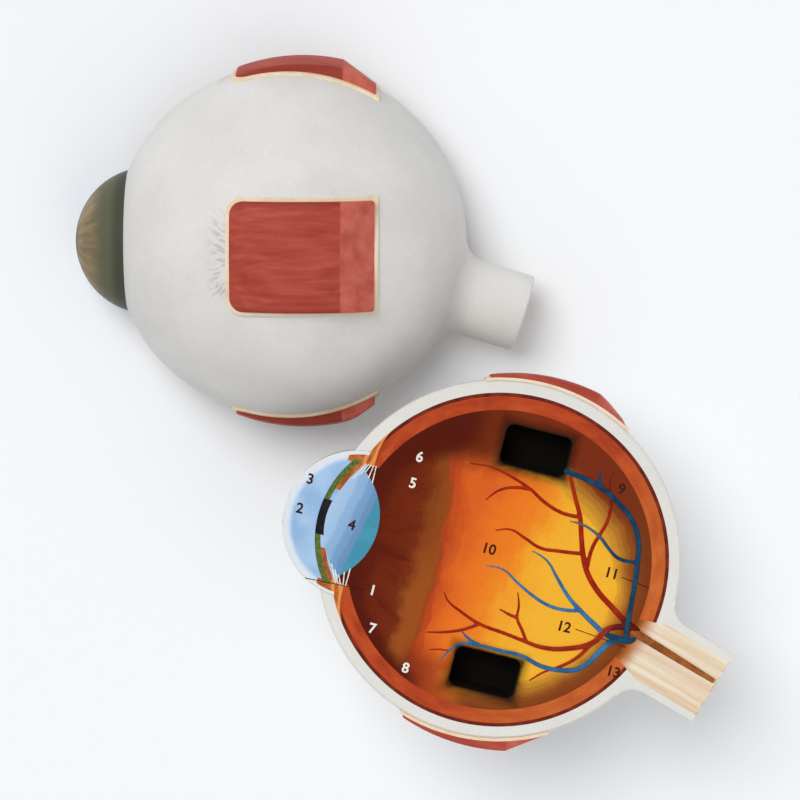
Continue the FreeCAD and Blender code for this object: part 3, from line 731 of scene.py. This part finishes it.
# Vessel routes over the cut face, from the optic disc out, in hundredths of the vitreous radius
UPPER_ARTERY = [
    (98, -22), (91, -19), (80, -12), (67, -3), (57, 8), (52, 18), (48, 29), (44, 41), (37, 54), (31, 66),
]
LOWER_ARTERY = [(98, -22), (88, -23), (80, -27), (74, -37), (57, -46), (42, -49), (30, -48)]
ARTERY_BRANCHES = [
    [(57, 8), (57, 24), (60, 35), (62, 43), (62, 51), (61, 57), (59, 62), (57, 69), (57, 76)],
    [(44, 41), (32, 41), (19, 45), (8, 51), (-6, 56), (-21, 59), (-35, 58)],
    [(52, 18), (37, 16), (24, 15), (12, 19), (2, 22), (-8, 19)],
    [(30, -48), (15, -46), (-2, -44), (-16, -39), (-26, -34), (-30, -29)],
    [(74, -37), (65, -51), (56, -59), (47, -65), (39, -73)],
]
ARTERY_TWIGS = [
    [(8, 51), (-1, 50), (-11, 46), (-19, 37)],
    [(-2, -44), (-11, -50), (-23, -55), (-35, -58)],
    [(31, -48), (26, -41), (21, -34), (20, -26), (17, -17)],
    [(21, -34), (15, -33), (8, -31)],
]
LOWEST_TWIG = [(-17, -66.3), (-24, -67.2), (-30, -69)]  # it comes out from under the lower vein
UPPER_VEIN = [
    (95, -31), (92.5, -22, ARCH), (91.5, -11), (90, 7), (88, 22), (85, 35), (78, 47), (65, 57), (51, 64),
    (26, 69),
]
MIDDLE_VEIN = [
    (95, -31), (88, -31), (80, -30), (70, -25), (60, -19), (50, -12), (40, -2), (30, 8), (19, 12),
]
LOWER_VEIN = [
    (95, -31), (89, -32), (84, -35.5), (79.5, -42), (74.5, -51), (68, -57.5), (57, -61), (45, -61.5),
    (30, -58), (15, -58), (2, -58), (-11, -60), (-18, -68), (-21, -74),
]
VEIN_BRANCHES = [
    [(88, 21), (75, 21), (67, 26), (59.5, 32, ARCH), (53, 35), (46, 37, ARCH), (38, 37)],
    [(60, -19), (51, -21), (40, -21), (27, -17), (15, -11), (4, -5), (-8, -5)],
]
VEIN_TWIGS = [
    [(53, 63), (50, 69), (49, 75)],
    [(2, -58), (-7, -55), (-13, -51)],
]
ARTERY_ROOT = (102, -26)  # where the arteries leave through the disc
VEIN_ROOT = (102.5, -26)
DISC_DIP = 1.7  # how deep the vessels sink there

# Widths, in millimetres
TRUNK = 2.1
BRANCH = 1.35
TWIG = 1.25
TIP = 0.55
LOWEST_TWIG_START = 0.7
UPPER_VEIN_START = 1.7  # the vein round the back keeps its width
UPPER_VEIN_END = 1.8
CENTRAL_LINE = 2.9
CENTRAL_LINE_TIP = 1.75
THREAD = 0.46

OVER = 0.4  # lift of a vessel that passes over another for its whole length
RIB_GRAIN = 0.24
CENTRAL_LINE_END = 0.95  # radius of the moulded line's round ends
CENTRAL_LINE_KNOTS = (-0.07, 0.03, 0.33, 0.66, 1.02)  # places along the moulded line, as shares of it
THREAD_GRAIN = 0.1
THREAD_COUNT = 5  # at each end of the lens
LENS_FAN = 5.5  # the threads meet the lens up to its thickness divided by this from its plane
TIP_FAN = 1.2  # how far they spread out over the ciliary body's tips


def vessel(route, start_width, end_width, lift=0.0, root=None):
    """A vessel along its route; with a root it begins there, sunk into the optic disc."""
    route = [root] + route if root else route
    points = [(x * VITREOUS / 100, y * VITREOUS / 100, *arch) for x, y, *arch in route]
    return tube(points, start_width, end_width, lift, DISC_DIP if root else 0.0)


def raise_vessels():
    """The arteries and the veins on the open cut face, each melted into one raised tree."""
    arteries = [
        vessel(UPPER_ARTERY, TRUNK, BRANCH, root=ARTERY_ROOT),
        vessel(LOWER_ARTERY, TRUNK, BRANCH, OVER, ARTERY_ROOT),
    ]
    arteries += [vessel(route, BRANCH, TIP) for route in ARTERY_BRANCHES]
    arteries += [vessel(route, TWIG, TIP) for route in ARTERY_TWIGS]
    arteries.append(vessel(LOWEST_TWIG, LOWEST_TWIG_START, TIP))
    veins = [vessel(UPPER_VEIN, UPPER_VEIN_START, UPPER_VEIN_END, OVER, VEIN_ROOT)]
    veins += [vessel(route, TRUNK, TIP, root=VEIN_ROOT) for route in (MIDDLE_VEIN, LOWER_VEIN)]
    veins += [vessel(route, BRANCH, TIP) for route in VEIN_BRANCHES]
    veins += [vessel(route, TWIG, TIP) for route in VEIN_TWIGS]
    for name, cords in (("arteries", arteries), ("veins", veins)):
        ribs = melted(cords, name, RIB_GRAIN)
        put_on(ribs, finish_for(SOCKET_HALF, "retinal_" + name))
        settle(ribs, SOCKET_HALF, "retinal_" + name, "socket_half_retinal_" + name)


def raise_central_line():
    """The vessel that runs down the middle of the nerve from where the others meet."""
    low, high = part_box("socket_half_central_vessels")
    start = Vector((low.x / MM + CENTRAL_LINE_END, high.y / MM - CENTRAL_LINE_END))
    end = Vector((high.x / MM - CENTRAL_LINE_END, low.y / MM + CENTRAL_LINE_END))
    route = [start.lerp(end, share) for share in CENTRAL_LINE_KNOTS]
    cord = tube(route, CENTRAL_LINE, CENTRAL_LINE_TIP, OVER, DISC_DIP / 2)
    line = melted([cord], "central_line", RIB_GRAIN)
    put_on(line, finish_for(SOCKET_HALF, "central_vessels"))
    settle(line, SOCKET_HALF, "central_vessels", "socket_half_central_vessels")


def raise_threads():
    """White threads that fan from the ciliary body's tips to the lens's shoulders."""
    bulge = ((LENS_HEIGHT / 2) ** 2 + (LENS_THICKNESS / 2) ** 2) / LENS_THICKNESS  # radius of its faces
    threads = []
    for i in range(THREAD_COUNT):
        spread = 2 * i / (THREAD_COUNT - 1) - 1
        lens_x = spread * LENS_THICKNESS / LENS_FAN
        lens_y = math.sqrt(bulge**2 - (bulge - LENS_THICKNESS / 2 + abs(lens_x)) ** 2)
        tip_x = (CILIARY_TIP.x - LIMBUS) * (1 + TIP_FAN * spread) / 2
        for way in (1, -1):
            lens_end = Vector((LIMBUS + lens_x, way * (lens_y - THREAD)))
            tip_end = Vector((LIMBUS + tip_x, way * (CILIARY_TIP.y + THREAD)))
            threads.append(tube([lens_end, lens_end.lerp(tip_end, 0.5), tip_end], THREAD, THREAD))
    threads = melted(threads, "zonule_threads", THREAD_GRAIN)
    put_on(threads, finish_for(SOCKET_HALF, "zonules"))
    settle(threads, SOCKET_HALF, "zonules", "socket_half_zonules")


# --- Printing ----------------------------------------------------------------------------------

# The numbers of each ink, with the place on the cut face where each stands
NUMBERS = {
    "white": [
        ("1", -38.0, -20.0), ("5", -34.0, 18.0), ("6", -34.0, 27.0), ("7", -35.0, -32.5),
        ("8", -21.0, -42.7),
    ],
    "dark": [
        ("2", -68.0, 0.7), ("3", -67.0, 11.0), ("4", -50.0, -0.5), ("9", 33.0, 33.0), ("10", -4.3, 2.9),
        ("11", 37.0, 5.0), ("12", 26.3, -16.3), ("13", 46.0, -27.0),
    ],
}
LEADERS = {
    "white": [],
    "dark": [
        ((-40.0, -20.3), (-60.6, -21.4)),
        ((40.6, 4.6), (50.2, 3.4)),
        ((30.2, -16.0), (47.9, -17.8)),
    ],
}
INKS = {"white": ["#e6dfd0", "#f1ece0", "#f7f4ec"], "dark": ["#2e0f0a", "#3a140c", "#45190f"]}
PRINT_SIZE = 4.8
PRINT_WEIGHT = 0.13  # by which each stroke is thickened all round
PRINT_RISE = 0.06
LEADER_WIDTH = 0.3


def printed(text, x, y):
    bpy.ops.object.text_add(location=(x, y, 0))
    figure = bpy.context.object
    figure.data.body = text
    figure.data.size = PRINT_SIZE
    figure.data.align_x = "CENTER"
    figure.data.align_y = "CENTER"
    figure.data.bevel_depth = PRINT_WEIGHT
    figure.data.bevel_resolution = 1
    bpy.ops.object.convert(target="MESH")
    return figure


def print_numbers():
    """Plain numbers in two inks, with fine lines from some of them to what they name."""
    for ink, codes in INKS.items():
        pieces = [printed(text, x, y) for text, x, y in NUMBERS[ink]]
        pieces += [tube(route, LEADER_WIDTH, LEADER_WIDTH) for route in LEADERS[ink]]
        figures = join(pieces, ink + "_numbers")
        flattened(figures, PRINT_RISE / PRINT_WEIGHT)
        put_on(figures, print_ink(SOCKET_HALF, ink + "_ink", codes))
        settle(figures, SOCKET_HALF, "vitreous")


# --- Studio ------------------------------------------------------------------------------------

VIEW_TURN = math.radians(14.3)  # the eye's axis runs down to the right in view
VIEW_TILT = math.radians(8)
VIEW_DISTANCE = 1.1
VIEW_NEAREST = 0.01
VIEW_FILL = 0.87  # share of the view that the model takes
SENSOR = 36.0
OUTER_SLOTS = ("sclera", "cornea", "optic_nerve_sheath", "rectus")

# Each lamp's name, the side it shines from, its softness in degrees and its strength
LAMPS = (("key", (-0.45, 0.4, 0.95), 35, 1.75), ("fill", (0.7, -0.5, 0.7), 60, 0.6))
ROOM_LIGHT = 0.42
BACKDROP = "#f4f5f7"
FLOOR = "#f0f2f4"
FLOOR_SIZE = 30
FLOOR_GLOW = 0.08  # lifts the floor to the backdrop's white, where it is looked at


def make_camera():
    """A camera that looks down on the cut face and frames both halves."""
    right = Vector((math.cos(VIEW_TURN), math.sin(VIEW_TURN), 0))
    flat_up = Vector((-math.sin(VIEW_TURN), math.cos(VIEW_TURN), 0))
    back = (Vector((0, 0, 1)) * math.cos(VIEW_TILT) + flat_up * math.sin(VIEW_TILT)).normalized()
    up = back.cross(right)
    outer = [p["node"] for p in frame["record"]["subparts"] if p["material_slot"] in OUTER_SLOTS]
    corners = [corner.co for node in outer for corner in frame["nodes"][node].data.vertices]
    across = [c.dot(right) for c in corners]
    along = [c.dot(up) for c in corners]
    toward = [c.dot(back) for c in corners]
    middle = [(min(way) + max(way)) / 2 for way in (across, along, toward)]
    aim = right * middle[0] + up * middle[1] + back * middle[2]
    size = max(max(across) - min(across), max(along) - min(along))
    bpy.ops.object.camera_add(location=aim + back * VIEW_DISTANCE)
    camera = bpy.context.object
    camera.rotation_euler = Matrix((right, up, back)).transposed().to_euler()
    camera.data.sensor_width = SENSOR
    camera.data.lens = SENSOR * VIEW_DISTANCE * VIEW_FILL / size
    camera.data.clip_start = VIEW_NEAREST
    bpy.context.scene.camera = camera


def lamp(name, direction, softness, strength):
    """A far lamp that shines from a direction on everything alike."""
    bpy.ops.object.light_add(type="SUN", location=Vector(direction))
    light = bpy.context.object
    light.name = name
    light.data.angle = math.radians(softness)
    light.data.energy = strength
    light.rotation_euler = (-Vector(direction)).to_track_quat("-Z", "Y").to_euler()


def seen_share(tree):
    """1 where a ray comes straight, mirrored or through glass to the eye, and 0 where it only lights."""
    path = tree.nodes.new("ShaderNodeLightPath")
    share = path.outputs["Is Camera Ray"]
    for name in ("Is Glossy Ray", "Is Transmission Ray"):
        either = tree.nodes.new("ShaderNodeMath")
        either.operation = "MAXIMUM"
        tree.links.new(share, either.inputs[0])
        tree.links.new(path.outputs[name], either.inputs[1])
        share = either.outputs[0]
    return share


def between(tree, share, low, high):
    """A value that goes from low to high as the share goes from 0 to 1."""
    node = tree.nodes.new("ShaderNodeMapRange")
    tree.links.new(share, node.inputs["Value"])
    node.inputs["To Min"].default_value = low
    node.inputs["To Max"].default_value = high
    return node.outputs[0]


def make_floor():
    middle = (CAD_BOX[0] + CAD_BOX[1]) / 2
    bpy.ops.mesh.primitive_plane_add(size=FLOOR_SIZE, location=(middle.x, middle.y, 0))
    floor = bpy.context.object
    floor.name = "floor"
    paint = bpy.data.materials.new("floor_paint")
    paint.use_nodes = True
    shader = paint.node_tree.nodes["Principled BSDF"]
    shader.inputs["Base Color"].default_value = linear(FLOOR)
    shader.inputs["Roughness"].default_value = 0.9
    shader.inputs["Specular IOR Level"].default_value = 0.1
    shader.inputs["Emission Color"].default_value = linear(BACKDROP)
    lift = between(paint.node_tree, seen_share(paint.node_tree), 0.0, FLOOR_GLOW)
    paint.node_tree.links.new(lift, shader.inputs["Emission Strength"])
    put_on(floor, paint)


def make_studio():
    make_floor()
    for name, direction, softness, strength in LAMPS:
        lamp(name, direction, softness, strength)
    world = bpy.data.worlds.new("studio")
    bpy.context.scene.world = world
    world.use_nodes = True
    backdrop = world.node_tree.nodes["Background"]
    backdrop.inputs["Color"].default_value = linear(BACKDROP)
    level = between(world.node_tree, seen_share(world.node_tree), ROOM_LIGHT, 1.0)
    world.node_tree.links.new(level, backdrop.inputs["Strength"])
    bpy.context.scene.view_settings.view_transform = "Standard"


make_camera()
make_studio()
dress_mouldings()
raise_vessels()
raise_central_line()
raise_threads()
print_numbers()
